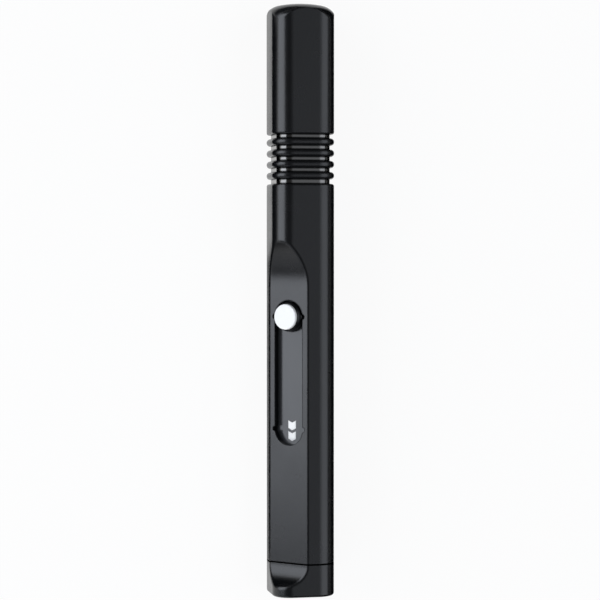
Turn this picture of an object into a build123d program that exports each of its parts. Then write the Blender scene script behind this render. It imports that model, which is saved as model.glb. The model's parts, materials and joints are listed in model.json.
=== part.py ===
"""Lens cleaning pen, lying on its back flat with the cap end towards +Y. All sizes are in millimetres.

The pen is a rounded square in section. A flat recess is cut across one of its corners and holds the slide
button, which pushes a soft brush out of the collar end. The cap pulls off the other end, off a ribbed neck,
and bares the round cleaning tip. The origin is in the middle of the face that the pen lies on.
"""

import os
from math import asin, atan, degrees, sqrt

from build123d import *

# Outside of the pen
across_flats = 13.8
corner_radius = 4.0
collar_length = 7.2
barrel_length = 83.3
neck_length = 10.8
cap_length = 28.7
edge_round = 0.5
seam_round = 0.15
collar_foot_round = 0.6

# Recess across the corner, with a scoop at both ends and a slot in its floor
recess_height = 4.75
recess_edge_round = 0.9
scoop_radius = 16.0
scoop_offset = 22.4
collar_scoop_radius = 4.5
collar_scoop_offset = 0.35
slot_half_width = 3.6
slot_offset = 29.1
slot_edge_round = 0.2
ear_radius = 0.55

# Inside of the barrel
barrel_wall = 1.5
slot_wall = 1.35
cavity_radius = 2.5

# Neck, with its plug in the barrel and its spigot in the cap, and the rings that make its ribs
ring_count = 4
ring_pitch = 2.45
ring_width = 1.6
ring_height = 0.95
ring_round = 0.75
first_ring = 1.8
plug_length = 8.0
plug_flat_height = 1.3
spigot_radius = 4.8
spigot_length = 7.0
spigot_chamfer = 0.4

# Seal ring in the spigot's groove
seal_offset = 3.6
seal_section = 1.0
seal_groove_width = 1.3

# Cap, its liner and the pad that recharges the tip
cap_wall = 1.2
cap_crown = 2.2
cap_crown_radius = 26.0
cap_shoulder_radius = 3.8
cap_mouth_chamfer = 0.3
liner_wall = 0.6
liner_flange = 1.6
liner_setback = 0.4
liner_floor = 1.0
pad_thickness = 2.4
pad_dome = 0.5
pad_slack = 0.25

# Cleaning tip
tip_radius = 4.55
tip_gap = 0.5
tip_dish = 0.45
tip_skin_thickness = 0.45
tip_skin_skirt = 3.4
tip_skin_round = 0.4
cushion_length = 7.0
cushion_neck_radius = 2.9
tip_root_radius = 2.1
tip_root_length = 5.5
tip_flange_radius = 3.3
tip_flange = 1.2
tip_shaft_radius = 1.7
tip_socket_depth = 3.2

# Brush carriage and slide button
sled_height = 3.25
sled_thickness = 1.5
sled_cover = 0.6
tail_gap = 0.4
keel_half_width = 0.7
keel_gap = 0.35
boss_radius = 2.9
boss_length = 12.0
socket_depth = 8.0
button_radius = 3.25
button_top_radius = 2.98
button_height = 5.6
button_round = 0.05
nub_reach = 3.5
nub_radius = 0.5
peg_radius = 1.2
peg_length = 1.5
disc_radius = 2.78
disc_proud = 0.6
disc_seat = 0.6
disc_round = 0.15

# Brush
brush_stem_radius = 2.0
stem_head_length = 7.5
ferrule_radius = 2.9
ferrule_wall = 0.35
ferrule_gap = 1.5
crimp_depth = 0.2
crimp_width = 1.2
crimp_offset = 3.0
bristle_root = 4.0
bristle_plug_length = 2.0
bristle_tip = 2.2
bristle_length = 15.3
bristle_radius = 3.1
bristle_dome_share = 0.41

# Mouth of the end collar and its spigot in the barrel
mouth_radius = 4.0
mouth_chamfer = 0.4
collar_spigot_length = 3.0
collar_spigot_height = 1.4

# Clearances of fixed and of running pieces
slip = 0.05
running = 0.1

# Stations along the pen, from the brush end. Offsets are measured back from the neck, or from the collar's end
barrel_start = collar_length
neck_start = barrel_start + barrel_length
cap_start = neck_start + neck_length
length = cap_start + cap_length
scoop_start = neck_start - scoop_offset
collar_scoop_start = collar_length - collar_scoop_offset
plug_start = neck_start - plug_length
spigot_end = cap_start + spigot_length
seal_centre = cap_start + seal_offset
liner_start = cap_start + liner_setback
cap_cavity_top = length - cap_crown
liner_top = cap_cavity_top - slip
pad_top = liner_top - liner_floor - slip
pad_bottom = pad_top - pad_thickness
tip_end = pad_bottom - tip_gap
cushion_end = tip_end - tip_skin_thickness - slip
cushion_start = cushion_end - cushion_length
tail_end = neck_start - tail_gap
ferrule_front = bristle_tip + bristle_length
bristle_end = ferrule_front + bristle_root
stem_start = bristle_end + bristle_plug_length
ferrule_end = stem_start + stem_head_length
sled_front = ferrule_end + ferrule_gap
slot_out_station = sled_front + sled_cover + slot_half_width
slot_rest_station = neck_start - slot_offset
brush_travel = slot_rest_station - slot_out_station
slot_middle = (slot_rest_station + slot_out_station) / 2
bristle_belly = bristle_tip + bristle_dome_share * bristle_length
crimp_centre = stem_start + crimp_offset

# Radii and heights, from the pen's axis
diagonal_reach = sqrt(2) * (across_flats / 2 - corner_radius) + corner_radius
cavity_flats = across_flats - 2 * barrel_wall
cavity_reach = sqrt(2) * (cavity_flats / 2 - cavity_radius) + cavity_radius
ledge_height = recess_height - slot_wall
sled_base = sled_height - sled_thickness
button_rise = button_height - recess_height
cap_cavity_flats = across_flats - 2 * cap_wall
liner_radius = cap_cavity_flats / 2 - slip
liner_bore = liner_radius - liner_wall
seal_groove_radius = liner_bore - 2 * slip - seal_section
ferrule_bore = ferrule_radius - ferrule_wall
brush_root_radius = ferrule_bore - slip

# Frame: the recess faces up and to -X, and far is longer than anything that a cut has to clear
far = 2 * across_flats
brush_end = Vector(0, -length / 2, across_flats / 2)
outward = Vector(-1, 0, 1).normalized()
sideways = Vector(1, 0, 1).normalized()
pen_axis = Axis(brush_end, (0, 1, 0))
# Side view through the middle of the recess: x is the station and y the height above the axis
lengthwise = Plane(origin=brush_end, x_dir=(0, 1, 0), z_dir=sideways)


def across(station):
    """Plane square to the pen. The recess lies halfway between its x and y."""
    return Plane(origin=brush_end + Vector(0, station, 0), x_dir=(-1, 0, 0), z_dir=(0, 1, 0))


def facing(height):
    """Plane that lies as the recess does, at a height above the axis. Its x is the station."""
    return Plane(origin=brush_end + outward * height, x_dir=(0, 1, 0), z_dir=outward)


def body_section(inset=0.0):
    """Draws the pen's rounded square in the open sketch."""
    side = across_flats - 2 * inset
    RectangleRounded(side, side, corner_radius - inset)


def cut_above(height):
    """Takes from the open sketch what lies above a height towards the recess."""
    with Locations(Rotation(0, 0, 45) * Location((height + far / 2, 0))):
        Rectangle(far, 2 * far, mode=Mode.SUBTRACT)


def cut_below(height):
    """Takes from the open sketch what lies below a height towards the recess."""
    with Locations(Rotation(0, 0, 45) * Location((height - far / 2, 0))):
        Rectangle(far, 2 * far, mode=Mode.SUBTRACT)


def cavity_section(inset=0.0):
    """Draws the barrel's inside in the open sketch: a rounded square with a flat under the recess."""
    side = cavity_flats - 2 * inset
    RectangleRounded(side, side, cavity_radius - inset)
    cut_above(ledge_height - inset)


def cap_cavity_section(inset=0.0):
    """Draws the cap's inside in the open sketch."""
    side = cap_cavity_flats - 2 * inset
    RectangleRounded(side, side, corner_radius - cap_wall - inset)


def profile(*points):
    """Face on the side view through points that are each a station and a radius."""
    with BuildSketch(lengthwise) as outline:
        with BuildLine():
            Polyline(*points, close=True)
        make_face()
    return outline.sketch


def dome(station, radius, rise):
    """Arc on the side view from the axis to a rim, which stands at a station. Its middle rises past the rim."""
    bend = (radius**2 + rise**2) / (2 * rise)
    part_way = radius / 2
    fall = bend - (bend**2 - part_way**2) ** 0.5
    if rise < 0:
        fall = bend + (bend**2 - part_way**2) ** 0.5
    return ThreePointArc((station + rise, 0), (station + rise - fall, part_way), (station, radius))


def recess_side():
    """Side view of what the recess takes away: a flat that scoops out to the corner at both its ends."""
    low, high = collar_scoop_start - collar_scoop_radius, scoop_start + scoop_radius
    with BuildSketch(lengthwise) as side:
        with BuildLine():
            low_turn = CenterArc((collar_scoop_start, recess_height + collar_scoop_radius),
                                 collar_scoop_radius, 180, 90)
            Line(low_turn @ 1, (scoop_start, recess_height))
            high_turn = CenterArc((scoop_start, recess_height + scoop_radius), scoop_radius, 270, 90)
            Polyline(high_turn @ 1, (high, far), (low, far), low_turn @ 0)
        make_face()
    return side.sketch


def recess_rim(part, radius):
    """Edges where the recess, with its scoop of this radius, meets the pen's outside."""
    floor = part.faces().filter_by(facing(recess_height))
    scoop = part.faces().filter_by(GeomType.CYLINDER).filter_by(lambda face: face.radius == radius)
    return (floor + scoop).edges().filter_by(Axis(brush_end, sideways), reverse=True)


def slot_rim(part):
    """Edges around the slot in the recess, ears included."""
    floor = part.faces().filter_by(facing(recess_height)).sort_by(SortBy.AREA)[-1]
    return floor.inner_wires().edges()


def write(part, name):
    """Labels a finished piece and writes it."""
    part.label = name
    export_step(part, f"parts/{name}.step")


os.makedirs("parts", exist_ok=True)

# Barrel: one moulding with a wall of even thickness, a slot in the recess and an ear at each of its stops
with BuildPart() as barrel:
    with BuildSketch(across(barrel_start)):
        body_section()
    extrude(amount=barrel_length)
    extrude(recess_side(), amount=across_flats, both=True, mode=Mode.SUBTRACT)
    fillet(recess_rim(barrel, scoop_radius), recess_edge_round)
    fillet(barrel.faces().sort_by(Axis.Y)[-1].edges(), edge_round)
    fillet(barrel.faces().sort_by(Axis.Y)[0].edges(), seam_round)
    with BuildSketch(across(barrel_start)):
        cavity_section()
    extrude(amount=barrel_length, mode=Mode.SUBTRACT)
    with BuildSketch(facing(recess_height)):
        with Locations((slot_middle, 0)):
            SlotCenterToCenter(brush_travel, 2 * slot_half_width)
            with GridLocations(brush_travel, 2 * slot_half_width, 2, 2):
                Circle(ear_radius)
    extrude(amount=-(slot_wall + slip), mode=Mode.SUBTRACT)
    fillet(slot_rim(barrel), slot_edge_round)
write(barrel.part, "barrel")

# End collar: holds the brush's mouth, and its spigot leaves room above for the carriage's nose
with BuildPart() as end_collar:
    with BuildSketch(across(0)):
        body_section()
    extrude(amount=collar_length)
    extrude(recess_side(), amount=across_flats, both=True, mode=Mode.SUBTRACT)
    fillet(recess_rim(end_collar, collar_scoop_radius), recess_edge_round)
    fillet(end_collar.faces().sort_by(Axis.Y)[-1].edges(), seam_round)
    fillet(end_collar.faces().sort_by(Axis.Y)[0].edges(), collar_foot_round)
    with BuildSketch(across(collar_length)):
        cavity_section(slip)
        cut_above(collar_spigot_height)
    extrude(amount=collar_spigot_length)
    with BuildSketch(across(0)):
        Circle(mouth_radius)
    extrude(amount=collar_length + collar_spigot_length, mode=Mode.SUBTRACT)
    chamfer(end_collar.faces().sort_by(Axis.Y)[0].inner_wires().edges(), mouth_chamfer)
write(end_collar.part, "end_collar")

# Neck rings: rounded black rings that sit on the bright neck between the barrel and the cap
for number in range(ring_count):
    ring_start = neck_start + first_ring + number * ring_pitch - ring_width / 2
    with BuildPart() as neck_ring:
        with BuildSketch(across(ring_start)):
            body_section()
        extrude(amount=ring_width)
        fillet(neck_ring.faces().filter_by(Axis.Y).edges(), ring_round)
        with BuildSketch(across(ring_start)):
            body_section(ring_height - slip)
        extrude(amount=ring_width, mode=Mode.SUBTRACT)
    write(neck_ring.part, f"neck_ring_{number + 1}")

# Ribbed neck: the core that carries the rings, with a plug in the barrel and a round spigot in the cap
with BuildPart() as ribbed_neck:
    with BuildSketch(across(neck_start)):
        body_section(ring_height)
    extrude(amount=neck_length)
    with BuildSketch(across(plug_start)):
        cavity_section(slip)
        cut_above(plug_flat_height)
    extrude(amount=plug_length)
    with BuildSketch(across(cap_start)):
        Circle(spigot_radius)
    extrude(amount=spigot_length)
    chamfer(ribbed_neck.faces().sort_by(Axis.Y)[-1].edges(), spigot_chamfer)
    with BuildSketch(lengthwise):
        with Locations((seal_centre, seal_groove_radius)):
            Rectangle(seal_groove_width, far, align=(Align.CENTER, Align.MIN))
    revolve(axis=pen_axis, mode=Mode.SUBTRACT)
    with BuildSketch(across(spigot_end)):
        Circle(tip_root_radius + slip)
    extrude(amount=-(tip_root_length + slip), mode=Mode.SUBTRACT)
write(ribbed_neck.part, "ribbed_neck")

# Seal ring: lies in the spigot's groove and grips the liner's bore
with BuildPart() as neck_seal:
    with BuildSketch(lengthwise):
        with Locations((seal_centre, seal_groove_radius + slip + seal_section / 2)):
            Circle(seal_section / 2)
    revolve(axis=pen_axis)
write(neck_seal.part, "neck_seal")

# Cap: an even wall, closed by an end that is rounded as if turned
with BuildPart() as cap_shell:
    with BuildSketch(across(cap_start)):
        body_section()
    extrude(amount=cap_length)
    fillet(cap_shell.faces().sort_by(Axis.Y)[0].edges(), edge_round)
    # The crown's arc runs into the shoulder's, which ends just outside the corners
    turned_radius = diagonal_reach + slip
    shoulder_radius = turned_radius - cap_shoulder_radius
    arm = cap_crown_radius - cap_shoulder_radius
    shoulder_station = length - cap_crown_radius + sqrt(arm**2 - shoulder_radius**2)
    blend = degrees(asin(shoulder_radius / arm))
    with BuildSketch(lengthwise):
        with BuildLine():
            CenterArc((length - cap_crown_radius, 0), cap_crown_radius, 0, blend)
            turn = CenterArc((shoulder_station, shoulder_radius), cap_shoulder_radius, blend, 90 - blend)
            Polyline(turn @ 1, (cap_start, turned_radius), (cap_start, 0), (length, 0))
        make_face()
    revolve(axis=pen_axis, mode=Mode.INTERSECT)
    with BuildSketch(across(cap_start)):
        cap_cavity_section()
    extrude(amount=cap_cavity_top - cap_start, mode=Mode.SUBTRACT)
    chamfer(cap_shell.faces().sort_by(Axis.Y)[0].inner_wires().edges(), cap_mouth_chamfer)
write(cap_shell.part, "cap_shell")

# Cap liner: a round sleeve on a flange that fills the cap's mouth
with BuildPart() as cap_liner:
    with BuildSketch(across(liner_start)):
        cap_cavity_section(slip)
    extrude(amount=liner_flange)
    with BuildSketch(across(liner_start)):
        Circle(liner_radius)
    extrude(amount=liner_top - liner_start)
    with BuildSketch(across(liner_start)):
        Circle(liner_bore)
    extrude(amount=liner_top - liner_floor - liner_start, mode=Mode.SUBTRACT)
    chamfer(cap_liner.faces().sort_by(Axis.Y)[0].inner_wires().edges(), cap_mouth_chamfer)
write(cap_liner.part, "cap_liner")

# Recharge pad: a felt disc in the end of the liner, domed to meet the hollow face of the tip
with BuildPart() as recharge_pad:
    with BuildSketch(lengthwise):
        with BuildLine():
            pad_radius = liner_bore - pad_slack
            face = dome(pad_bottom, pad_radius, -pad_dome)
            Polyline(face @ 1, (pad_top, pad_radius), (pad_top, 0), face @ 0)
        make_face()
    revolve(axis=pen_axis)
write(recharge_pad.part, "recharge_pad")

# Tip stem: its root is pressed into the spigot, and its flange sits on the spigot's end
with BuildPart() as tip_stem:
    flange_end = spigot_end + tip_flange
    stem_end = cushion_start + tip_socket_depth
    revolve(profile((spigot_end - tip_root_length, 0), (spigot_end - tip_root_length, tip_root_radius),
                    (spigot_end, tip_root_radius), (spigot_end, tip_flange_radius),
                    (flange_end, tip_flange_radius), (flange_end, tip_shaft_radius),
                    (stem_end, tip_shaft_radius), (stem_end, 0)), axis=pen_axis)
write(tip_stem.part, "tip_stem")

# Tip cushion: a soft flared head on the stem, with the hollow that fits a lens
with BuildPart() as tip_cushion:
    cushion_radius = tip_radius - tip_skin_thickness - slip
    skirt_start = tip_end - tip_skin_skirt
    with BuildSketch(lengthwise):
        with BuildLine():
            face = dome(cushion_end, cushion_radius, -tip_dish)
            Polyline(face @ 1, (skirt_start, cushion_radius), (cushion_start, cushion_neck_radius),
                     (cushion_start, tip_shaft_radius + slip),
                     (stem_end + slip, tip_shaft_radius + slip), (stem_end + slip, 0), face @ 0)
        make_face()
    revolve(axis=pen_axis)
write(tip_cushion.part, "tip_cushion")

# Tip skin: a thin cup of soft leather drawn over the cushion
with BuildPart() as tip_skin:
    with BuildSketch(lengthwise) as skin_profile:
        with BuildLine():
            face = dome(tip_end, tip_radius, -tip_dish)
            back = dome(tip_end - tip_skin_thickness, tip_radius - tip_skin_thickness, -tip_dish)
            Polyline(face @ 1, (skirt_start, tip_radius),
                     (skirt_start, tip_radius - tip_skin_thickness), back @ 1)
            Line(back @ 0, face @ 0)
        make_face()
        fillet(skin_profile.vertices().group_by(Axis.X)[-1], tip_skin_round)
    revolve(axis=pen_axis)
write(tip_skin.part, "tip_skin")

# Brush carriage: a flat sled that floors the slot at both stops, a keel below and a socket for the brush
with BuildPart() as brush_carriage:
    with BuildSketch(across(sled_front)):
        cavity_section(running)
        cut_above(sled_height)
        cut_below(sled_base)
    extrude(amount=tail_end - sled_front)
    with BuildSketch(across(sled_front)):
        Circle(boss_radius)
    extrude(amount=boss_length)
    with BuildSketch(lengthwise):
        with Locations((sled_front + socket_depth, keel_gap - cavity_reach)):
            Rectangle(plug_start - tail_gap - sled_front - socket_depth,
                      cavity_reach - keel_gap + sled_base, align=(Align.MIN, Align.MIN))
    extrude(amount=keel_half_width, both=True)
    with BuildSketch(across(sled_front)):
        Circle(brush_stem_radius + slip)
    extrude(amount=socket_depth, mode=Mode.SUBTRACT)
    with BuildSketch(facing(sled_height)):
        with Locations((slot_rest_station, 0)):
            Circle(peg_radius + slip)
    extrude(amount=-(peg_length + slip), mode=Mode.SUBTRACT)
write(brush_carriage.part, "brush_carriage")

# Slide button: a round pedestal that tapers above the recess, pegged to the sled, with a nub on each side for
# the slot's ears
with BuildPart() as slide_button:
    with BuildSketch(facing(sled_height)):
        with Locations((slot_rest_station, 0)):
            Circle(button_radius)
    extrude(amount=recess_height - sled_height)
    with BuildSketch(facing(recess_height)):
        with Locations((slot_rest_station, 0)):
            Circle(button_radius)
    extrude(amount=button_rise, taper=degrees(atan((button_radius - button_top_radius) / button_rise)))
    fillet(slide_button.faces().filter_by(facing(0)).sort_by(Axis.Z)[-1].edges(), button_round)
    with BuildSketch(facing(sled_height)):
        with Locations((slot_rest_station, nub_reach - nub_radius), (slot_rest_station, nub_radius - nub_reach)):
            Circle(nub_radius)
    extrude(amount=recess_height - sled_height)
    with BuildSketch(facing(sled_height)):
        with Locations((slot_rest_station, 0)):
            Circle(peg_radius)
    extrude(amount=-peg_length)
    with BuildSketch(facing(button_height)):
        with Locations((slot_rest_station, 0)):
            Circle(disc_radius + slip)
    extrude(amount=-disc_seat, mode=Mode.SUBTRACT)
write(slide_button.part, "slide_button")

# Button disc: the pale inlay that the thumb finds
with BuildPart() as button_disc:
    with BuildSketch(facing(button_height - disc_seat)):
        with Locations((slot_rest_station, 0)):
            Circle(disc_radius)
    extrude(amount=disc_seat + disc_proud)
    fillet(button_disc.faces().filter_by(facing(0)).sort_by(Axis.Z)[-1].edges(), disc_round)
write(button_disc.part, "button_disc")

# Brush stem: its head is crimped in the ferrule, and its shaft is pressed into the carriage's socket
with BuildPart() as brush_stem:
    shaft_end = sled_front + socket_depth - slip
    revolve(profile((stem_start + slip, 0), (stem_start + slip, brush_root_radius),
                    (crimp_centre - crimp_width / 2 - slip, brush_root_radius),
                    (crimp_centre, brush_root_radius - crimp_depth),
                    (crimp_centre + crimp_width / 2 + slip, brush_root_radius),
                    (ferrule_end, brush_root_radius), (ferrule_end, brush_stem_radius),
                    (shaft_end, brush_stem_radius), (shaft_end, 0)), axis=pen_axis)
write(brush_stem.part, "brush_stem")

# Ferrule: a thin metal tube with a crimp that bites the stem's head
with BuildPart() as brush_ferrule:
    revolve(profile((ferrule_front, ferrule_radius), (crimp_centre - crimp_width / 2, ferrule_radius),
                    (crimp_centre, ferrule_radius - crimp_depth),
                    (crimp_centre + crimp_width / 2, ferrule_radius), (ferrule_end, ferrule_radius),
                    (ferrule_end, ferrule_bore), (crimp_centre + crimp_width / 2, ferrule_bore),
                    (crimp_centre, ferrule_bore - crimp_depth),
                    (crimp_centre - crimp_width / 2, ferrule_bore), (ferrule_front, ferrule_bore)),
            axis=pen_axis)
write(brush_ferrule.part, "brush_ferrule")

# Bristle plug: the resin that binds the bristles' roots
with BuildPart() as bristle_plug:
    with BuildSketch(across(bristle_end)):
        Circle(brush_root_radius)
    extrude(amount=bristle_plug_length)
write(bristle_plug.part, "bristle_plug")

# Bristles: a bundle that swells out of the ferrule to a belly and ends in a dome
with BuildPart() as brush_bristles:
    with BuildSketch(lengthwise):
        with BuildLine():
            tip_arc = EllipticalCenterArc((bristle_belly, 0), bristle_belly - bristle_tip, bristle_radius,
                                          start_angle=90, arc_size=90)
            swell = Spline(tip_arc @ 0, (ferrule_front, brush_root_radius), tangents=((1, 0), (1, 0)))
            Polyline(swell @ 1, (bristle_end, brush_root_radius), (bristle_end, 0), tip_arc @ 1)
        make_face()
    revolve(axis=pen_axis)
write(brush_bristles.part, "brush_bristles")
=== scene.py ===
# %% [markdown]
# A lens cleaning pen is a small satin black tool, so its looks come from a few finishes and from how light
# runs along its flats and rounded corners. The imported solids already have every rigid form. This notebook
# loads them as a fixed frame, gives each one a finish, adds what the solids leave out, and lights it softly.

# %% Load the frame
import json
from math import cos, pi, radians, sin

import bmesh
import bpy
from mathutils import Matrix, Vector

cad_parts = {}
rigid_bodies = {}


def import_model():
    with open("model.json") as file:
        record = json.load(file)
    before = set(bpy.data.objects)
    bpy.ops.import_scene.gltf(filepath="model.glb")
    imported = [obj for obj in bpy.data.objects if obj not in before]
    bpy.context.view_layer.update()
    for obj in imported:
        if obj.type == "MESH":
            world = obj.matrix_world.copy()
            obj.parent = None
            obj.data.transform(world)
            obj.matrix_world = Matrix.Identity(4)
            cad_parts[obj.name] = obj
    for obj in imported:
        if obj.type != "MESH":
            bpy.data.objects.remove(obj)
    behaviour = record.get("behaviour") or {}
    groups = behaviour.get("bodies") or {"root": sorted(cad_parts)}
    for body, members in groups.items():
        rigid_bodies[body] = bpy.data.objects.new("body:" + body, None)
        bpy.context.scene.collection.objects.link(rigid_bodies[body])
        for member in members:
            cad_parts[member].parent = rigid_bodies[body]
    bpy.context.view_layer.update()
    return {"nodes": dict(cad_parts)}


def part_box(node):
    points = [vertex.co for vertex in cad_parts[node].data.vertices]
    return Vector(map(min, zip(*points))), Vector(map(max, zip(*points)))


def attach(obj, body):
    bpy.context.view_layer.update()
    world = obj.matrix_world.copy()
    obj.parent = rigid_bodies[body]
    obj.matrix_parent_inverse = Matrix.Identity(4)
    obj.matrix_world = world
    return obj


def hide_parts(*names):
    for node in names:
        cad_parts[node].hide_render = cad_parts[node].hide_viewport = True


MM = 0.001

for leftover in list(bpy.data.objects):
    bpy.data.objects.remove(leftover)
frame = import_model()
scene = bpy.context.scene
scene.view_settings.view_transform = "Standard"
print("pieces in the frame:", len(frame["nodes"]))

# %% [markdown]
# The pen lies on its back flat with its axis along Y. Its section is a rounded square, and the recess with
# the slide button faces halfway between up and -X. Three unit vectors say so once. One function turns a
# station along the pen, a distance across the recess and a height over the pen's axis into a place, and
# another measures how far a solid reaches.

# %% Directions and places on the pen
barrel_low, barrel_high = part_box("barrel")
ACROSS_FLATS = barrel_high.z - barrel_low.z
AXIS_HEIGHT = ACROSS_FLATS / 2
ALONG = Vector((0, 1, 0))
OUTWARD = Vector((-1, 0, 1)).normalized()
SIDEWAYS = Vector((1, 0, 1)).normalized()


def place(station, across, height):
    """Point at a Y station, at a distance across the recess and a height over the pen's axis, in metres."""
    return Vector((0, station, AXIS_HEIGHT)) + SIDEWAYS * across + OUTWARD * height


def reach(node, direction):
    """How far a node's solid reaches from the pen's axis along a direction."""
    axis_point = Vector((0, 0, AXIS_HEIGHT))
    return max((v.co - axis_point).dot(direction) for v in frame["nodes"][node].data.vertices)


print("across flats, mm:", round(ACROSS_FLATS / MM, 2))

# %% [markdown]
# The camera looks down on the lying pen from where the photographer stood to the upright one: turned a
# little from the front flat's normal towards the recess, level with a point above the slide button, with a
# long lens. The lens comes from the image's scale at the pen's axis, taking the image as 600 x 600 pixels.
# A Track To constraint could aim the camera too, but it also chooses the roll. A matrix made of three
# directions keeps the pen upright in the image, and the lamps are turned by the same function later.

# %% Camera
IMAGE_PIXELS = 600
PIXELS_PER_MM = 4.53
CAMERA_DISTANCE = 466 * MM
TURN = radians(11.8)
LEVEL_STATION = 13.6 * MM
AIM_STATION = -0.04 * MM
AIM_ACROSS = 0.05 * MM


def facing(spot, backward):
    """World matrix at a spot, with the back to a unit direction and the top towards the cap end."""
    rightward = ALONG.cross(backward).normalized()
    upward = backward.cross(rightward)
    return Matrix.Translation(spot) @ Matrix((rightward, upward, backward)).transposed().to_4x4()


to_camera = Vector((-sin(TURN), 0, cos(TURN)))
image_right = Vector((cos(TURN), 0, sin(TURN)))
aim = Vector((0, AIM_STATION, AXIS_HEIGHT)) - image_right * AIM_ACROSS
eye = Vector((0, LEVEL_STATION, AXIS_HEIGHT)) + to_camera * CAMERA_DISTANCE - image_right * AIM_ACROSS

camera_data = bpy.data.cameras.new("camera")
camera_data.lens = camera_data.sensor_width * PIXELS_PER_MM * CAMERA_DISTANCE / MM / IMAGE_PIXELS
camera_data.clip_start = 0.01
camera_data.clip_end = 20
camera = bpy.data.objects.new("camera", camera_data)
scene.collection.objects.link(camera)
camera.matrix_world = facing(eye, (eye - aim).normalized())
scene.camera = camera
print("lens, mm:", round(camera_data.lens, 1))

# %% [markdown]
# A finish is a node tree. It could be wired by hand in the Shader Editor, but in a script its sizes come from
# named values. One helper adds a node with its settings and links, and one turns an sRGB hex colour into the
# linear values that the shader wants.

# %% Material helpers


def linear(hex_colour):
    """sRGB hex colour as linear RGBA."""
    channels = [int(hex_colour[i:i + 2], 16) / 255 for i in (1, 3, 5)]
    return [c / 12.92 if c <= 0.04045 else ((c + 0.055) / 1.055) ** 2.4 for c in channels] + [1.0]


def add(tree, kind, inputs=None, **settings):
    """Adds a node: settings are its properties, inputs its values or the sockets that it is linked from."""
    node = tree.nodes.new(kind)
    for key, value in settings.items():
        setattr(node, key, value)
    for key, value in (inputs or {}).items():
        if isinstance(value, bpy.types.NodeSocket):
            tree.links.new(value, node.inputs[key])
        else:
            node.inputs[key].default_value = value
    return node


def new_material(name):
    """An empty material and its node tree."""
    material = bpy.data.materials.new(name)
    material.use_nodes = True
    material.node_tree.nodes.clear()
    return material, material.node_tree


def dress(material, *nodes):
    """Gives the solids of some nodes their finish."""
    for node in nodes:
        slots = frame["nodes"][node].data.materials
        for index in range(len(slots)):
            slots[index] = material


print("sRGB #808080 is linear", round(linear("#808080")[0], 3))

# %% [markdown]
# A seam or the root of a ring is black in the photograph. That black is painted shade: an ambient occlusion
# node finds such places by itself, within a third of a millimetre, and says how open a surface is, so that a
# finish loses its shine or its colour there. Such places could be painted dark by hand too. The seam between
# barrel and collar is finer than that, so its painted shade is placed by its station along the pen.

# %% Painted shade in corners and seams
CREVICE_MM = 0.35
CREVICE_BLACK = 0.7
CREVICE_GONE = 0.95
SEAM_BLACK_MM = 0.14
SEAM_GONE_MM = 0.224


def openness(tree):
    """1 on open surfaces, falling to 0 in crevices and corners: the mask for painted shade."""
    occlusion = add(tree, "ShaderNodeAmbientOcclusion", {"Distance": CREVICE_MM * MM}, samples=8)
    return add(tree, "ShaderNodeMapRange", {"Value": occlusion.outputs["AO"], "From Min": CREVICE_BLACK,
                                            "From Max": CREVICE_GONE}).outputs["Result"]


def clear_of_seam_shade(tree, coordinates, station):
    """0 within the seam at a station, 1 away from it: the mask for painted shade in the seam."""
    along = add(tree, "ShaderNodeSeparateXYZ", {"Vector": coordinates}).outputs["Y"]
    past_seam = add(tree, "ShaderNodeMath", {0: along, 1: station}, operation="SUBTRACT")
    off_seam = add(tree, "ShaderNodeMath", {0: past_seam.outputs[0]}, operation="ABSOLUTE")
    return add(tree, "ShaderNodeMapRange", {"Value": off_seam.outputs[0], "From Min": SEAM_BLACK_MM * MM,
                                            "From Max": SEAM_GONE_MM * MM}).outputs["Result"]


print("crevices are found within, mm:", CREVICE_MM)

# %% [markdown]
# The body is ABS, moulded in a spark-eroded tool. The fine grain of the tool spreads the highlights into
# soft bands. Two noises make it: the grain itself, as bump, and a slower change that keeps the gloss from
# being perfectly even. A photographed grain would need unwrapping and would repeat, and noise on Object
# coordinates does neither. The real grain is finer than a pixel of the picture, so it is drawn about one
# pixel wide. No moulded edge is quite sharp: a bevel node rounds the shading over the last third of a
# millimetre, which draws the slot's thin rim. The sled and the stems are acetal, smoother and a little
# lighter, and the button's disc is the same kind of moulding in white.

# %% Moulded plastics
EDGE_MM = 0.34
PATCH_MM = 6
GLOSS_DRIFT = 0.02
SHINE = 0.5


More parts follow.
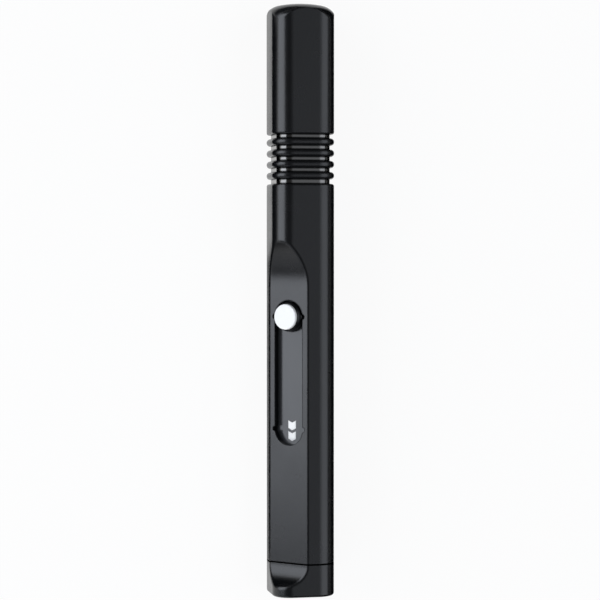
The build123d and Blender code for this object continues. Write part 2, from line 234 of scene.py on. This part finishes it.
def satin_plastic(name, colour, roughness, grain_mm, grain_depth_mm, seam=None):
    """Moulded plastic with a grain of a given width and depth, painted shade in its crevices, and a seam at a
    station, if any, painted black as shade.
    """
    material, tree = new_material(name)
    coordinates = add(tree, "ShaderNodeTexCoord").outputs["Object"]
    grain = add(tree, "ShaderNodeTexNoise", {"Vector": coordinates, "Scale": 1 / (grain_mm * MM),
                                             "Detail": 2.0, "Roughness": 0.6})
    patches = add(tree, "ShaderNodeTexNoise", {"Vector": coordinates, "Scale": 1 / (PATCH_MM * MM),
                                               "Detail": 3.0})
    gloss = add(tree, "ShaderNodeMapRange",
                {"Value": patches.outputs["Fac"], "From Min": 0.3, "From Max": 0.7,
                 "To Min": roughness - GLOSS_DRIFT, "To Max": roughness + GLOSS_DRIFT})
    softened = add(tree, "ShaderNodeBevel", {"Radius": EDGE_MM * MM}, samples=6)
    bump = add(tree, "ShaderNodeBump", {"Height": grain.outputs["Fac"], "Strength": 1.0,
                                        "Distance": grain_depth_mm * MM, "Normal": softened.outputs[0]})
    # Painted shade: the shine fades where the ambient occlusion finds a crevice
    shine = add(tree, "ShaderNodeMath", {0: openness(tree), 1: SHINE}, operation="MULTIPLY").outputs[0]
    paint = linear(colour)
    # Painted shade in the seam's gap: colour and shine go black there
    if seam is not None:
        clear = clear_of_seam_shade(tree, coordinates, seam)
        shine = add(tree, "ShaderNodeMath", {0: shine, 1: clear}, operation="MULTIPLY").outputs[0]
        paint = add(tree, "ShaderNodeMix", {"Factor": clear, "A": linear("#000000"), "B": paint},
                    data_type="RGBA").outputs["Result"]
    shader = add(tree, "ShaderNodeBsdfPrincipled",
                 {"Base Color": paint, "Roughness": gloss.outputs["Result"], "IOR": 1.53,
                  "Specular IOR Level": shine, "Normal": bump.outputs["Normal"]})
    add(tree, "ShaderNodeOutputMaterial", {"Surface": shader.outputs[0]})
    return material


BLACK_ABS = {"colour": "#0a0b0d", "roughness": 0.26, "grain_mm": 0.25, "grain_depth_mm": 0.004}
neck_rings = [node for node in frame["nodes"] if node.startswith("neck_ring")]
body_abs = satin_plastic("satin moulded ABS", **BLACK_ABS)
jointed_abs = satin_plastic("satin moulded ABS with its seam", **BLACK_ABS, seam=barrel_low.y)
sled_acetal = satin_plastic("polished acetal", "#2e2f31", roughness=0.2, grain_mm=0.3, grain_depth_mm=0.002)
white_abs = satin_plastic("white moulded ABS", "#f2f2f0", roughness=0.4, grain_mm=0.3, grain_depth_mm=0.002)
dress(body_abs, "cap_shell", "slide_button", *neck_rings)
dress(jointed_abs, "barrel", "end_collar")
dress(sled_acetal, "brush_carriage", "tip_stem", "brush_stem")
dress(white_abs, "button_disc")
print("moulded finishes:", body_abs.name, "/", sled_acetal.name, "/", white_abs.name)

# %% [markdown]
# Between its black rings the neck is bright. Its core is moulded in ABS as well and then plated: nickel with
# a thin coat of chromium, as on a tap. A light grey plastic would look painted, so it is a metal. A plated
# moulding keeps the faint waviness of the plastic under it, so a slow shallow bump goes with a low roughness.
# The metal is slightly grey, as chromium is; painted shade makes it nearly black in corners beside the rings.

# %% Plated neck
WAVE_MM = 1.2
WAVE_DEPTH_MM = 0.002

bright_plating, tree = new_material("bright chromium plating")
coordinates = add(tree, "ShaderNodeTexCoord").outputs["Object"]
waves = add(tree, "ShaderNodeTexNoise", {"Vector": coordinates, "Scale": 1 / (WAVE_MM * MM), "Detail": 1.0})
haze = add(tree, "ShaderNodeMapRange", {"Value": waves.outputs["Fac"], "To Min": 0.12, "To Max": 0.22})
ripple = add(tree, "ShaderNodeBump", {"Height": waves.outputs["Fac"], "Distance": WAVE_DEPTH_MM * MM})
# Painted shade: the base colour goes nearly black where the ambient occlusion finds a corner beside a ring
corner_shade = add(tree, "ShaderNodeMix", {"Factor": openness(tree), "A": linear("#0c0c0d"),
                                      "B": linear("#747371")}, data_type="RGBA")
shader = add(tree, "ShaderNodeBsdfPrincipled",
             {"Base Color": corner_shade.outputs["Result"], "Metallic": 1.0, "Roughness": haze.outputs["Result"],
              "Normal": ripple.outputs["Normal"]})
add(tree, "ShaderNodeOutputMaterial", {"Surface": shader.outputs[0]})
dress(bright_plating, "ribbed_neck")
print("plated:", bright_plating.name, "under", len(neck_rings), "rings")

# %% [markdown]
# The cap hides a liner of natural polypropylene, a grey and slightly waxy plastic, and the seal ring on the
# neck is nitrile rubber, dull black with a fine bloom. Both are smooth, so no bump is needed: one noise
# drifts between two close colours and changes the gloss with them.

# %% Liner and seal
BLOOM = 0.08


def two_tone(tree, level, colours, low, high):
    """Goes from the first colour to the second as a pattern's level goes from low to high."""
    ramp = add(tree, "ShaderNodeValToRGB", {"Fac": level})
    for stop, position, colour in zip(ramp.color_ramp.elements, (low, high), colours):
        stop.position = position
        stop.color = linear(colour)
    return ramp.outputs["Color"]


def soft_polymer(name, colours, roughness, mottle_mm, **values):
    """Unpainted polymer whose colour and gloss drift a little over a real distance."""
    material, tree = new_material(name)
    coordinates = add(tree, "ShaderNodeTexCoord").outputs["Object"]
    mottle = add(tree, "ShaderNodeTexNoise", {"Vector": coordinates, "Scale": 1 / (mottle_mm * MM),
                                              "Detail": 4.0}).outputs["Fac"]
    gloss = add(tree, "ShaderNodeMapRange", {"Value": mottle, "To Min": roughness - BLOOM,
                                             "To Max": roughness + BLOOM})
    shader = add(tree, "ShaderNodeBsdfPrincipled",
                 {"Base Color": two_tone(tree, mottle, colours, low=0.35, high=0.65),
                  "Roughness": gloss.outputs["Result"], **values})
    add(tree, "ShaderNodeOutputMaterial", {"Surface": shader.outputs[0]})
    return material


liner = soft_polymer("natural polypropylene", ("#8b8c8a", "#9a9b98"), roughness=0.42, mottle_mm=1.5, IOR=1.49)
rubber = soft_polymer("nitrile rubber", ("#131313", "#1d1d1c"), roughness=0.62, mottle_mm=0.4, IOR=1.52)
dress(liner, "cap_liner")
dress(rubber, "neck_seal")
print("hidden finishes:", liner.name, "/", rubber.name)

# %% [markdown]
# The cleaning tip is a foam cushion under a cup of split leather, and the pad that recharges it is felt
# loaded with carbon. Foam shows cells, leather a napped grain and felt crossed fibres: a Voronoi pattern, a
# fine noise and a stretched noise, each as bump and as a small change of colour. Real fibres would be too
# small to see here. The nap of leather and felt catches light at its edges, which is what sheen is for.

# %% Tip and pad


def textured(name, colours, roughness, pattern_kind, pattern_mm, depth_mm, stretch=(1, 1, 1), **values):
    """Matt soft material: one pattern of a real size makes its relief and its change of colour."""
    material, tree = new_material(name)
    coordinates = add(tree, "ShaderNodeTexCoord").outputs["Object"]
    stretched = add(tree, "ShaderNodeMapping", {"Vector": coordinates, "Scale": stretch})
    pattern = add(tree, pattern_kind, {"Vector": stretched.outputs["Vector"],
                                       "Scale": 1 / (pattern_mm * MM)})
    level = pattern.outputs["Distance" if pattern_kind == "ShaderNodeTexVoronoi" else "Fac"]
    bump = add(tree, "ShaderNodeBump", {"Height": level, "Distance": depth_mm * MM})
    shader = add(tree, "ShaderNodeBsdfPrincipled",
                 {"Base Color": two_tone(tree, level, colours, low=0.25, high=0.7), "Roughness": roughness,
                  "Normal": bump.outputs["Normal"], **values})
    add(tree, "ShaderNodeOutputMaterial", {"Surface": shader.outputs[0]})
    return material


foam = textured("polyurethane foam", ("#1c1c1d", "#333334"), roughness=0.85,
                pattern_kind="ShaderNodeTexVoronoi", pattern_mm=0.35, depth_mm=0.12)
leather = textured("split leather", ("#1a1918", "#2b2927"), roughness=0.8,
                   pattern_kind="ShaderNodeTexNoise", pattern_mm=0.12, depth_mm=0.05,
                   **{"Sheen Weight": 0.35, "Sheen Roughness": 0.5})
felt = textured("carbon-loaded felt", ("#141415", "#2c2c2d"), roughness=0.95,
                pattern_kind="ShaderNodeTexNoise", pattern_mm=0.2, depth_mm=0.1, stretch=(1, 3, 0.4),
                **{"Sheen Weight": 0.2})
dress(foam, "tip_cushion")
dress(leather, "tip_skin")
dress(felt, "recharge_pad")
print("soft finishes:", foam.name, "/", leather.name, "/", felt.name)

# %% [markdown]
# The ferrule is a drawn aluminium tube. Drawing and turning leave fine lines round it, so the gloss changes
# along the tube and not around it. An anisotropic shader would blur the light the same way without any lines.
# A noise stretched flat in X and Z keeps them, coarser than real ones so that a close view shows them. The
# resin that binds the bristles is amber epoxy, glossy and a little clear.

# %% Ferrule and resin
LINE_PITCH_MM = 0.08
LINE_DEPTH_MM = 0.002

ferrule_metal, tree = new_material("drawn aluminium")
coordinates = add(tree, "ShaderNodeTexCoord").outputs["Object"]
flattened = add(tree, "ShaderNodeMapping", {"Vector": coordinates, "Scale": (0.02, 1, 0.02)})
lines = add(tree, "ShaderNodeTexNoise", {"Vector": flattened.outputs["Vector"],
                                         "Scale": 1 / (LINE_PITCH_MM * MM), "Detail": 3.0})
gloss = add(tree, "ShaderNodeMapRange", {"Value": lines.outputs["Fac"], "To Min": 0.2, "To Max": 0.42})
score = add(tree, "ShaderNodeBump", {"Height": lines.outputs["Fac"], "Distance": LINE_DEPTH_MM * MM})
shader = add(tree, "ShaderNodeBsdfPrincipled",
             {"Base Color": linear("#d6d7d9"), "Metallic": 1.0, "Roughness": gloss.outputs["Result"],
              "Normal": score.outputs["Normal"]})
add(tree, "ShaderNodeOutputMaterial", {"Surface": shader.outputs[0]})
resin = soft_polymer("amber epoxy", ("#7a4a16", "#8c5a20"), roughness=0.2, mottle_mm=0.6, IOR=1.56,
                     **{"Transmission Weight": 0.35})
dress(ferrule_metal, "brush_ferrule")
dress(resin, "bristle_plug")
print("brush finishes:", ferrule_metal.name, "/", resin.name)

# %% [markdown]
# Two white chevrons are pad-printed on the sled and show through the slot. They point the way that the
# button goes. Ink lies on the surface in a thin even film, matt beside the polished sled. It could be a
# colour in the sled's material, but as a low prism with its own mesh its edge stays crisp at any distance.

# %% Printed chevrons
CHEVRON_COUNT = 2
CHEVRON_WIDTH = 1.95 * MM
CHEVRON_SIDE = 1.68 * MM
CHEVRON_POINT = 0.5 * MM
CHEVRON_NOTCH = 0.44 * MM
CHEVRON_PITCH = 2.35 * MM
FIRST_CHEVRON_STATION = -26.47 * MM
# Real ink is about 0.01 mm thick: twice that keeps it clear of the sled's surface in any render
INK = 0.02 * MM
# The notch bends the outline inwards, so its faces are cut down the middle into two plain quads
HALVES = ((0, 1, 4, 5), (1, 2, 3, 4))

sled_top = reach("brush_carriage", OUTWARD)
half = CHEVRON_WIDTH / 2
chevron_mesh = bmesh.new()
for number in range(CHEVRON_COUNT):
    start = FIRST_CHEVRON_STATION - number * CHEVRON_PITCH
    outline = [(start, -half), (start - CHEVRON_NOTCH, 0), (start, half), (start - CHEVRON_SIDE, half),
               (start - CHEVRON_SIDE - CHEVRON_POINT, 0), (start - CHEVRON_SIDE, -half)]
    lower = [chevron_mesh.verts.new(place(station, across, sled_top)) for station, across in outline]
    upper = [chevron_mesh.verts.new(place(station, across, sled_top + INK)) for station, across in outline]
    for quad in HALVES:
        chevron_mesh.faces.new([upper[i] for i in quad])
        chevron_mesh.faces.new([lower[i] for i in reversed(quad)])
    for i in range(len(outline)):
        j = (i + 1) % len(outline)
        chevron_mesh.faces.new((lower[i], lower[j], upper[j], upper[i]))
bmesh.ops.recalc_face_normals(chevron_mesh, faces=chevron_mesh.faces)
chevron_data = bpy.data.meshes.new("printed_chevrons")
chevron_mesh.to_mesh(chevron_data)
chevron_mesh.free()
chevron_data.materials.append(satin_plastic("white pad-print ink", "#f6f6f4", roughness=0.5, grain_mm=0.1,
                                            grain_depth_mm=0.001))
chevrons = bpy.data.objects.new("printed_chevrons", chevron_data)
scene.collection.objects.link(chevrons)
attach(chevrons, "brush")
print("chevron faces:", len(chevron_data.polygons))

# %% [markdown]
# The brush holds some hundreds of fine hairs bound in the ferrule. A hair particle system would also do,
# but it leaves curves that an export drops. Geometry Nodes scatter roots on a disc, stand a line on each,
# bend every line outwards to the brush's belly, and sweep a thin tube along it. The tree comes first, with
# its sizes as named inputs, and its roots lie on a disc of radius 1 that is scaled later.

# %% Bristle tree: inputs and roots
HAIRS = bpy.data.node_groups.new("bristle bundle", "GeometryNodeTree")
for name, kind in (("Root Radius", "Float"), ("Belly Radius", "Float"), ("Straight Length", "Float"),
                   ("Dome Length", "Float"), ("Hair Radius", "Float"), ("Root Spacing", "Float"),
                   ("Waver", "Float"), ("Points", "Int"), ("Seed", "Int"), ("Finish", "Material")):
    HAIRS.interface.new_socket(name, in_out="INPUT", socket_type=f"NodeSocket{kind}")
HAIRS.interface.new_socket("Geometry", in_out="OUTPUT", socket_type="NodeSocketGeometry")
given = add(HAIRS, "NodeGroupInput").outputs

disc = add(HAIRS, "GeometryNodeMeshCircle", {"Vertices": 48, "Radius": 1.0}, fill_type="NGON")
roots = add(HAIRS, "GeometryNodeDistributePointsOnFaces",
            {"Mesh": disc.outputs["Mesh"], "Distance Min": given["Root Spacing"], "Density Max": 4000.0,
             "Seed": given["Seed"]}, distribute_method="POISSON")
root_place = add(HAIRS, "GeometryNodeInputPosition").outputs[0]
marked = add(HAIRS, "GeometryNodeStoreNamedAttribute",
             {"Geometry": roots.outputs["Points"], "Name": "root", "Value": root_place},
             data_type="FLOAT_VECTOR", domain="POINT")
line = add(HAIRS, "GeometryNodeCurvePrimitiveLine")
stepped = add(HAIRS, "GeometryNodeResampleCurve", {"Curve": line.outputs["Curve"], "Count": given["Points"]})
stood = add(HAIRS, "GeometryNodeInstanceOnPoints", {"Points": marked.outputs["Geometry"],
                                                    "Instance": stepped.outputs["Curve"]})
hairs = add(HAIRS, "GeometryNodeRealizeInstances", {"Geometry": stood.outputs["Instances"]})
print("inputs of the bristle tree:", ", ".join(socket.name for socket in given if socket.name))

# %% [markdown]
# A point of a hair gets its place from where the hair's root is on the disc and from its share of the way to
# the tip. The bundle leaves the ferrule straight, swells smoothly to its belly and ends in a dome. Each hair
# could be combed by hand instead, but a rule keeps the bundle in the shape of the solid that it replaces.

# %% Bristle tree: where each point of a hair goes
SWELL_START = 0.3
STRAY_SCALE = 40.0

root = add(HAIRS, "GeometryNodeInputNamedAttribute", {"Name": "root"},
           data_type="FLOAT_VECTOR").outputs["Attribute"]
share = add(HAIRS, "GeometryNodeSplineParameter").outputs["Factor"]
# The dome is an ellipse over the bundle's width, so that the middle hairs reach furthest
off_axis = add(HAIRS, "ShaderNodeVectorMath", {0: root}, operation="LENGTH").outputs["Value"]
squared = add(HAIRS, "ShaderNodeMath", {0: off_axis, 1: off_axis}, operation="MULTIPLY").outputs[0]
within = add(HAIRS, "ShaderNodeMath", {0: 1.0, 1: squared}, operation="SUBTRACT", use_clamp=True).outputs[0]
rise = add(HAIRS, "ShaderNodeMath", {0: within}, operation="SQRT").outputs[0]
dome = add(HAIRS, "ShaderNodeMath", {0: given["Dome Length"], 1: rise}, operation="MULTIPLY").outputs[0]
length = add(HAIRS, "ShaderNodeMath", {0: given["Straight Length"], 1: dome}, operation="ADD").outputs[0]
distance = add(HAIRS, "ShaderNodeMath", {0: length, 1: share}, operation="MULTIPLY").outputs[0]
# The belly: the unit disc of roots is scaled by a radius that grows along the hair
swell_start = add(HAIRS, "ShaderNodeMath", {0: given["Straight Length"], 1: SWELL_START},
                  operation="MULTIPLY").outputs[0]
belly = add(HAIRS, "ShaderNodeMath", {0: given["Belly Radius"], 1: given["Hair Radius"]},
            operation="SUBTRACT").outputs[0]
radius = add(HAIRS, "ShaderNodeMapRange",
             {"Value": distance, "From Min": swell_start, "From Max": given["Straight Length"],
              "To Min": given["Root Radius"], "To Max": belly}, interpolation_type="SMOOTHSTEP")
spread = add(HAIRS, "ShaderNodeVectorMath", {0: root, "Scale": radius.outputs["Result"]}, operation="SCALE")
apart = add(HAIRS, "ShaderNodeSeparateXYZ", {"Vector": spread.outputs[0]}).outputs
downward = add(HAIRS, "ShaderNodeMath", {0: distance, 1: -1.0}, operation="MULTIPLY").outputs[0]
bundle = add(HAIRS, "ShaderNodeCombineXYZ", {"X": apart["X"], "Y": downward, "Z": apart["Y"]}).outputs[0]
# Each hair strays a little in a direction of its own, most of all at its tip
stray = add(HAIRS, "ShaderNodeTexNoise", {"Vector": root, "Scale": STRAY_SCALE, "Detail": 1.0})
centred = add(HAIRS, "ShaderNodeVectorMath", {0: stray.outputs["Color"], 1: (0.5, 0.5, 0.5)},
              operation="SUBTRACT").outputs[0]
towards_tip = add(HAIRS, "ShaderNodeMath", {0: share, 1: share}, operation="MULTIPLY").outputs[0]
sway = add(HAIRS, "ShaderNodeMath", {0: given["Waver"], 1: towards_tip}, operation="MULTIPLY").outputs[0]
swayed = add(HAIRS, "ShaderNodeVectorMath", {0: centred, "Scale": sway}, operation="SCALE").outputs[0]
target = add(HAIRS, "ShaderNodeVectorMath", {0: bundle, 1: swayed}, operation="ADD").outputs[0]
laid = add(HAIRS, "GeometryNodeSetPosition", {"Geometry": hairs.outputs["Geometry"], "Position": target})
print("nodes so far:", len(HAIRS.nodes))

# %% [markdown]
# A hair is thickest at its root and thins to its tip. A square section is enough for a thing this thin and
# keeps the faces few. The tree ends in Realize Instances and Set Material, because an export drops instances.

# %% Bristle tree: tubes
TAPER_START = 0.6
TIP_THICKNESS = 0.35

taper = add(HAIRS, "ShaderNodeMapRange", {"Value": share, "From Min": TAPER_START, "To Min": 1.0,
                                          "To Max": TIP_THICKNESS}).outputs["Result"]
thinned = add(HAIRS, "GeometryNodeSetCurveRadius", {"Curve": laid.outputs["Geometry"], "Radius": taper})
section = add(HAIRS, "GeometryNodeCurvePrimitiveCircle", {"Resolution": 4, "Radius": given["Hair Radius"]})
tubes = add(HAIRS, "GeometryNodeCurveToMesh", {"Curve": thinned.outputs["Curve"],
                                               "Profile Curve": section.outputs["Curve"], "Fill Caps": True})
solid = add(HAIRS, "GeometryNodeRealizeInstances", {"Geometry": tubes.outputs["Mesh"]})
coated = add(HAIRS, "GeometryNodeSetMaterial", {"Geometry": solid.outputs["Geometry"],
                                                "Material": given["Finish"]})
add(HAIRS, "NodeGroupOutput", {"Geometry": coated.outputs["Geometry"]})
print("nodes in the bristle tree:", len(HAIRS.nodes))

# %% [markdown]
# The hairs are fine goat hair, dyed near black: each one keeps a slightly different depth of dye, and a soft
# sheen runs along the bundle. Each hair could have a colour of its own, but a colour noise stretched along Y
# follows the hairs and needs nothing stored on the mesh.

# %% Dyed hair
HAIR_GROUP_MM = 0.25

hair_finish, tree = new_material("dyed goat hair")
coordinates = add(tree, "ShaderNodeTexCoord").outputs["Object"]
followed = add(tree, "ShaderNodeMapping", {"Vector": coordinates, "Scale": (1, 0.05, 1)})
dye = add(tree, "ShaderNodeTexNoise", {"Vector": followed.outputs["Vector"],
                                       "Scale": 1 / (HAIR_GROUP_MM * MM), "Detail": 3.0}).outputs["Fac"]
shader = add(tree, "ShaderNodeBsdfPrincipled",
             {"Base Color": two_tone(tree, dye, ("#15110f", "#37302b"), low=0.3, high=0.7),
              "Roughness": 0.45, "IOR": 1.55, "Sheen Weight": 0.15})
add(tree, "ShaderNodeOutputMaterial", {"Surface": shader.outputs[0]})
print("hair finish:", hair_finish.name)

# %% [markdown]
# The sizes of the bundle are read from the solids that it meets and replaces, so that it fills the same
# space. The tree grows it on an empty object, and its result becomes a plain mesh in its place at the foot.
# Real hairs are about half as thick: these fill the bundle with fewer of them.

# %% Grow the bristles
DOME_LENGTH = 6.2 * MM
HAIR_RADIUS = 0.06 * MM
WAVER = 0.25 * MM
# A share of the bundle's radius, as the roots lie on a disc of radius 1
ROOT_SPACING = 0.052

plug_low, plug_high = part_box("bristle_plug")
hair_low, hair_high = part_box("brush_bristles")
values = {"Root Radius": (plug_high.x - plug_low.x) / 2 - HAIR_RADIUS,
          "Belly Radius": (hair_high.x - hair_low.x) / 2,
          "Straight Length": hair_high.y - hair_low.y - DOME_LENGTH, "Dome Length": DOME_LENGTH,
          "Hair Radius": HAIR_RADIUS, "Root Spacing": ROOT_SPACING, "Waver": WAVER, "Points": 9, "Seed": 7,
          "Finish": hair_finish}

seat = bpy.data.objects.new("bristle_seat", bpy.data.meshes.new("bristle_seat"))
scene.collection.objects.link(seat)
growth = seat.modifiers.new("bristles", "NODES")
growth.node_group = HAIRS
for item in HAIRS.interface.items_tree:
    if item.in_out == "INPUT":
        growth[item.identifier] = values[item.name]
seated = seat.evaluated_get(bpy.context.evaluated_depsgraph_get())
bristle_data = bpy.data.meshes.new_from_object(seated)
bristle_data.name = "bristle_bundle"
bristle_data.transform(Matrix.Translation((0, hair_high.y, AXIS_HEIGHT)))
bpy.data.objects.remove(seat)
bristles = bpy.data.objects.new("bristle_bundle", bristle_data)
scene.collection.objects.link(bristles)
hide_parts("brush_bristles")
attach(bristles, "brush")
print("bristle faces:", len(bristle_data.polygons))

# %% [markdown]
# The pen lies on matt white paper that fades into the background. Lamps strong enough to make the paper white
# would wash the pen out. So the paper is lit as the pen is, and for camera and mirror rays most of it gives
# light of its own. The rest of it is lit by the lamps, which keeps a faint shadow.

# %% Floor
FLOOR_HALF = 6.0
GLOW_SHARE = 0.92

floor_mesh = bpy.data.meshes.new("floor")
corners = [(x * FLOOR_HALF, y * FLOOR_HALF, 0) for x, y in ((-1, -1), (1, -1), (1, 1), (-1, 1))]
floor_mesh.from_pydata(corners, [], [range(len(corners))])
floor = bpy.data.objects.new("floor", floor_mesh)
scene.collection.objects.link(floor)
floor_paint, tree = new_material("matt white paper")
paper = add(tree, "ShaderNodeBsdfDiffuse", {"Color": linear("#fafafa")})
rays = add(tree, "ShaderNodeLightPath")
glow = add(tree, "ShaderNodeEmission", {"Color": (1, 1, 1, 1), "Strength": 1.0})
seen = add(tree, "ShaderNodeMath", {0: rays.outputs["Is Camera Ray"], 1: rays.outputs["Is Glossy Ray"]},
           operation="ADD")
seen_through = add(tree, "ShaderNodeMath", {0: seen.outputs[0], 1: rays.outputs["Is Transmission Ray"]},
                   operation="ADD", use_clamp=True)
share_lit = add(tree, "ShaderNodeMath", {0: seen_through.outputs[0], 1: GLOW_SHARE}, operation="MULTIPLY")
mixed = add(tree, "ShaderNodeMixShader", {0: share_lit.outputs[0], 1: paper.outputs[0], 2: glow.outputs[0]})
add(tree, "ShaderNodeOutputMaterial", {"Surface": mixed.outputs[0]})
floor_mesh.materials.append(floor_paint)
print("floor, m:", 2 * FLOOR_HALF)

# %% [markdown]
# The photograph has a fine black line beside the lit left edge, a black right edge and a black line under
# the cap's crown. A photographer gets them with black cards laid close to a glossy thing. On this white floor
# they would be in the picture, so they are seen by mirror rays alone, and neither the camera nor the light on
# the pen knows of them. The left card steps closer to the pen below the recess's arch, where the strip beside
# the edge is darker in the photograph.

# %% Black cards
CARD_HEIGHT_MM = 0.3
# The left card ends 60 mm out, so that the corner beside it still mirrors the white floor beyond
CARDS_MM = {"left_card": ((-7.8, -58.9), (-60, -58.9), (-60, 65), (-9.3, 65), (-9.3, 14), (-7.8, 8)),
            "right_card": ((14, -400), (250, -400), (250, 400), (14, 400)),
            "cap_card": ((-200, 60), (-14, 76), (14, 102), (200, 130), (200, 400), (-200, 400))}

card_black, tree = new_material("matt black card")
card_face = add(tree, "ShaderNodeBsdfDiffuse", {"Color": linear("#050505")})
add(tree, "ShaderNodeOutputMaterial", {"Surface": card_face.outputs[0]})
for name, outline in CARDS_MM.items():
    corners = [Vector((x, y, CARD_HEIGHT_MM)) * MM for x, y in outline]
    card_mesh = bpy.data.meshes.new(name)
    card_mesh.from_pydata(corners, [], [range(len(corners))])
    card_mesh.materials.append(card_black)
    card = bpy.data.objects.new(name, card_mesh)
    scene.collection.objects.link(card)
    card.visible_camera = card.visible_diffuse = card.visible_shadow = card.visible_transmission = False
print("black cards:", ", ".join(CARDS_MM))

# %% [markdown]
# A glossy black object shows its lamps more than its colour. In the photograph a large soft light stands
# low on the recess's side, a narrower one lights the far corner, a dim one lies over the front flat, and
# between them the room is dark, which draws the black lines beside each highlight. A picture of a studio
# round the scene could do it, but softboxes can be moved one by one until each highlight is in its place.
# Three of them and a dim world do it here. A dim reflector lights the foot of the pen, and one light that no
# mirror ray sees makes the white button as bright as it is in the photograph. All but that one are a touch
# cooler than white, as daylight lamps are, because the greys in the photograph lean to blue.

# %% Lights
ROOM_STRENGTH = 0.08
LAMP_DISTANCE = 0.6
DAYLIGHT = (0.94, 0.99, 1.08)
WHITE = (1, 1, 1)

world = bpy.data.worlds.new("studio")
world.use_nodes = True
world.node_tree.nodes.clear()
backdrop = add(world.node_tree, "ShaderNodeBackground", {"Color": (*WHITE, 1), "Strength": ROOM_STRENGTH})
add(world.node_tree, "ShaderNodeOutputWorld", {"Surface": backdrop.outputs[0]})
scene.world = world


def softbox(name, azimuth, tilt, width, length, radiance, station=0.0, mirrored=True):
    """Area light that faces the pen. In degrees, azimuth is 90 at -X and tilt goes to the cap end."""
    azimuth, tilt = radians(azimuth), radians(tilt)
    light = bpy.data.lights.new(name, "AREA")
    light.shape = "RECTANGLE"
    light.size = width
    light.size_y = length
    light.energy = radiance * pi * width * length
    light.color = DAYLIGHT if mirrored else WHITE
    lamp = bpy.data.objects.new(name, light)
    scene.collection.objects.link(lamp)
    lamp.visible_glossy = mirrored
    towards = Vector((-sin(azimuth) * cos(tilt), sin(tilt), cos(azimuth) * cos(tilt)))
    lamp.matrix_world = facing(towards * LAMP_DISTANCE + ALONG * station, towards)
    print(name, "W:", round(light.energy, 2))


softbox("left softbox", azimuth=67, tilt=0, width=0.51, length=0.76, radiance=2.9, station=0.25)
softbox("right softbox", azimuth=-45.5, tilt=0, width=0.465, length=0.9, radiance=1.45)
softbox("overhead softbox", azimuth=-14, tilt=0, width=0.26, length=0.65, radiance=0.4, station=-0.125)
softbox("foot reflector", azimuth=75, tilt=-50, width=0.7, length=0.6, radiance=0.5)
softbox("button light", azimuth=45, tilt=-49, width=0.4, length=0.4, radiance=2.4, mirrored=False)
